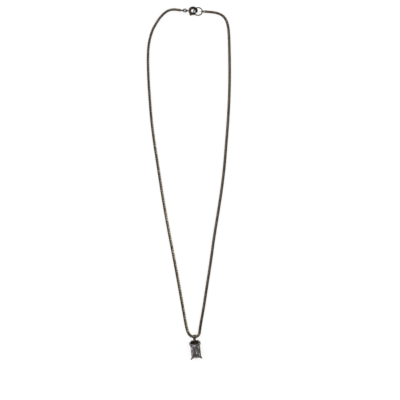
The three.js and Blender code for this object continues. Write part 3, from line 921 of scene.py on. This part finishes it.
# Each claw: its side, its end and its splay in mm.
CLAWS = {
    "claw_upper_left": (-1, 1, 0),
    "claw_upper_right": (1, 1, 0),
    "claw_lower_left": (-1, -1, CLAW_SPLAY),
    "claw_lower_right": (1, -1, 0),
}
RAIL_CORNER, RAIL_BEVEL = 0.3 * MM, 0.09 * MM
UPPER_RAIL_WALL, UPPER_RAIL_HEIGHT = 0.3 * MM, 0.45 * MM
UPPER_RAIL_DROP = 0.75 * MM  # from the girdle to its lower face
LOWER_RAIL_WIDTH, LOWER_RAIL_LENGTH = 4.4 * MM, 6.9 * MM
LOWER_RAIL_WALL, LOWER_RAIL_HEIGHT = 0.5 * MM, 0.5 * MM

# Facets of the stone, with slopes in degrees from the girdle's plane.
FACET_BEVEL = 0.012 * MM
CROWN_TIERS = [(44, 0.08), (36, 0.2), (26, 0.36)]  # slope, and mm above the girdle where it meets the side
PAVILION_TIERS = [(58, 0.05), (48, 0.24), (40, 0.62)]  # slope, and mm beyond the girdle
FAN_TURNS, FAN_SLOPE, FAN_BEYOND = (-24, -12, 12, 24), 43, 0.72 * MM
END_TURNS, END_SLOPE, END_BEYOND = (-30, -15, 15, 30), 41, 0.2 * MM
CORNER_SLOPE, CORNER_BEYOND = 52, 0.1 * MM

head_turn = Matrix.Rotation(math.radians(HEAD_YAW), 3, "Z") @ tilted(HEAD_PITCH)


def head_point(x, y, z):
    """A point by its place in the head's own frame, whose origin is the joint that it sways on."""
    return pivot("pendant_sway") + head_turn @ Vector((x, y, z))


def cropped_rectangle(width, length, crop):
    """Eight corners of a rectangle with cut corners, round the stone's centre."""
    x, y = width / 2, length / 2
    corners = [
        (x - crop, y), (x, y - crop), (x, crop - y), (x - crop, -y),
        (crop - x, -y), (-x, crop - y), (-x, y - crop), (crop - x, y),
    ]
    return [(px, py + STONE_CENTRE) for px, py in corners]


def make_rail(name, node, width, length, wall, low, height, metal):
    outer = cropped_rectangle(width, length, RAIL_CORNER)
    inner = cropped_rectangle(width - 2 * wall, length - 2 * wall, STONE_CROP)
    rings = [(outer, low), (outer, low + height), (inner, low + height), (inner, low)]
    vertices = [head_point(x, y, z) for outline, z in rings for x, y in outline]
    rail = make_piece(name, vertices, ring_faces(len(rings), len(outer), True), metal)
    add_bevel(rail, RAIL_BEVEL, segments=3)
    place(rail, "pendant_head", [node], "dark_silver")


def make_bar(metal):
    """The bar across the head's upper end, with softened edges."""
    outline = rounded_box(BAR_WIDTH, BAR_TOP - BAR_BOTTOM, BAR_CORNER, steps=5)
    middle_y = (BAR_TOP + BAR_BOTTOM) / 2
    levels = BAR_EDGE + [(BAR_HEIGHT / MM - height, inset) for height, inset in reversed(BAR_EDGE)]
    vertices = []
    for height, inset in levels:
        for x, y in outline:
            share_x = 1 - inset * MM / (BAR_WIDTH / 2)
            share_y = 1 - inset * MM / ((BAR_TOP - BAR_BOTTOM) / 2)
            vertices.append(head_point(x * share_x, middle_y + y * share_y, BACK + height * MM))
    bar = make_piece("head_bail_bar", vertices, ring_faces(len(levels), len(outline), False), metal)
    add_bevel(bar, BAR_BEVEL, segments=2, angle=40)
    place(bar, "pendant_head", ["bail_bar"], "dark_silver")


def make_lug(metal):
    """A round staple about the bail's neck, flared where its feet meet the bar."""
    leg = -BAR_TOP - SOLDER_GAP
    points = [head_point(LUG_RADIUS, -y, 0) for y in spread(leg, 0, LUG_LEG_STEPS)]
    for a in spread(0, 180, LUG_BEND_STEPS):
        angle = math.radians(a)
        points.append(head_point(LUG_RADIUS * math.cos(angle), LUG_RADIUS * math.sin(angle), 0))
    points += [head_point(-LUG_RADIUS, -y, 0) for y in [*spread(0, leg, LUG_LEG_STEPS), leg]]
    frames = frames_along(points, head_turn @ Vector((0, 0, 1)))
    last = len(frames) - 1
    flare = [1 + LUG_FLARE * math.exp(-min(i, last - i) / LUG_FLARE_ROWS) for i in range(len(frames))]
    vertices = sweep(frames, lambda i: circle(LUG_WIRE * flare[i], LUG_COLUMNS))
    lug = make_piece("head_lug_staple", vertices, ring_faces(len(frames), LUG_COLUMNS, False), metal)
    place(lug, "pendant_head", ["lug"], "dark_silver")


def make_claw(name, side, end, splay, metal):
    """A claw's wire, thinning towards a rounded tip that is bent over the stone."""
    corner_x, corner_y = STONE_WIDTH / 2, STONE_LENGTH / 2

    def at(out, along, z):
        return head_point(side * (corner_x + out * MM), STONE_CENTRE + end * (corner_y + along * MM), z)

    foot = at(*(UPPER_FOOT if end > 0 else LOWER_FOOT), BACK + CLAW_FOOT)
    line = [at(out + splay * share, along, GIRDLE + up * MM) for out, along, up, share in CLAW_LINE]
    frames = frames_along(spline([foot, *line], CLAW_STEPS), head_turn @ Vector((side, -end, 0)).normalized())
    last = len(frames) - 1

    def section(i):
        left = (last - i) / CLAW_TIP_ROWS
        round_off = math.sqrt(max(1 - (1 - left) ** 2, CLAW_TIP_FLAT)) if left < 1 else 1
        return circle(PRONG * (1 - CLAW_TAPER * i / last) * round_off, CLAW_COLUMNS)

    faces = ring_faces(len(frames), CLAW_COLUMNS, False)
    claw = make_piece(name + "_wire", sweep(frames, section), faces, metal)
    place(claw, "pendant_head", [name], "dark_silver")


def cut(work, normal, distance):
    """Cuts one facet: all that is further than distance from the girdle's middle, along normal, goes."""
    geometry = work.verts[:] + work.edges[:] + work.faces[:]
    result = bmesh.ops.bisect_plane(
        work, geom=geometry, plane_co=normal * distance, plane_no=normal, clear_outer=True, dist=1e-8)
    rim = [g for g in result["geom_cut"] if isinstance(g, bmesh.types.BMEdge)]
    if rim:
        bmesh.ops.edgenet_fill(work, edges=rim)


def facet_tier(work, azimuths, slope, reach, down):
    """A tier of facets: at each azimuth, in degrees, a plane that passes the girdle line at reach
    from the stone's axis and is slope degrees from the girdle's plane."""
    for azimuth, out in zip(azimuths, reach):
        a, s = math.radians(azimuth), math.radians(slope)
        up = -math.cos(s) if down else math.cos(s)
        cut(work, Vector((math.sin(s) * math.cos(a), math.sin(s) * math.sin(a), up)), out * math.sin(s))


def cut_stone(work):
    """A cropped rectangular brilliant, cut facet by facet from a block round the girdle's middle."""
    half_x, half_y = STONE_WIDTH / 2, STONE_LENGTH / 2
    corner = (half_x + half_y - STONE_CROP) / math.sqrt(2)
    sides, corners = [0, 180, 90, 270], [45, 135, 225, 315]
    girdle = [half_x, half_x, half_y, half_y, corner, corner, corner, corner]
    bmesh.ops.create_cube(work, size=2 * STONE_LENGTH)
    facet_tier(work, sides + corners, 90, girdle, False)
    cut(work, Vector((0, 0, 1)), CROWN)
    cut(work, Vector((0, 0, -1)), PAVILION)
    # Crown: a steep break, the main slope and a flatter slope up to the table.
    for slope, rise in CROWN_TIERS:
        reach = [r + rise * MM / math.tan(math.radians(slope)) for r in girdle]
        facet_tier(work, sides + corners, slope, reach, False)
    # Pavilion: steps along the sides and pairs of long facets that fan out from the keel.
    for slope, beyond in PAVILION_TIERS:
        facet_tier(work, sides, slope, [r + beyond * MM for r in girdle[:4]], True)
    fan = [a + turn for a in (0, 180) for turn in FAN_TURNS]
    facet_tier(work, fan, FAN_SLOPE, [half_x + FAN_BEYOND] * len(fan), True)
    ends = [a + turn for a in (90, 270) for turn in END_TURNS]
    facet_tier(work, ends, END_SLOPE, [half_y + END_BEYOND] * len(ends), True)
    facet_tier(work, corners, CORNER_SLOPE, [corner + CORNER_BEYOND] * len(corners), True)
    bmesh.ops.remove_doubles(work, verts=work.verts, dist=1e-7)


def make_stone(glass):
    work = bmesh.new()
    cut_stone(work)
    mesh = bpy.data.meshes.new("faceted_stone")
    work.to_mesh(mesh)
    work.free()
    mesh.transform(Matrix.Translation(head_point(0, STONE_CENTRE, GIRDLE)) @ head_turn.to_4x4())
    mesh.materials.append(glass)
    stone = bpy.data.objects.new("faceted_stone", mesh)
    bpy.context.scene.collection.objects.link(stone)
    add_bevel(stone, FACET_BEVEL, segments=1, angle=12)
    place(stone, "pendant_head", ["stone"], "clear_stone")


def make_head(metal, shaded, glass):
    make_rail("upper_gallery_rail", "upper_gallery", STONE_WIDTH + 2 * RIM, STONE_LENGTH + 2 * RIM,
              UPPER_RAIL_WALL, GIRDLE - UPPER_RAIL_DROP, UPPER_RAIL_HEIGHT, metal)
    make_rail("lower_gallery_rail", "lower_gallery", LOWER_RAIL_WIDTH, LOWER_RAIL_LENGTH,
              LOWER_RAIL_WALL, BACK, LOWER_RAIL_HEIGHT, metal)
    # The bar and the lug get the darker copy of the silver, painted shade.
    make_bar(shaded)
    make_lug(shaded)
    for name, (side, end, splay) in CLAWS.items():
        make_claw(name, side, end, splay, metal)
    make_stone(glass)


# ------------------------------------------------------------------ the scene

make_camera()
make_floor()
make_studio()

metals = {name: tarnished_metal(name, *look) for name, look in METALS.items()}
spring_steel = steel_metal()
clear_stone = stone_glass()

make_chain([metals["chain_metal"], metals["chain_painted_shade"]])
# The rings and the clasp get the darker copy of the silver, painted shade.
make_loose_rings(metals["painted_shade_silver"])
make_clasp(metals["painted_shade_silver"], spring_steel)
make_bail(metals["dark_silver"])
make_head(metals["dark_silver"], metals["painted_shade_silver"], clear_stone)
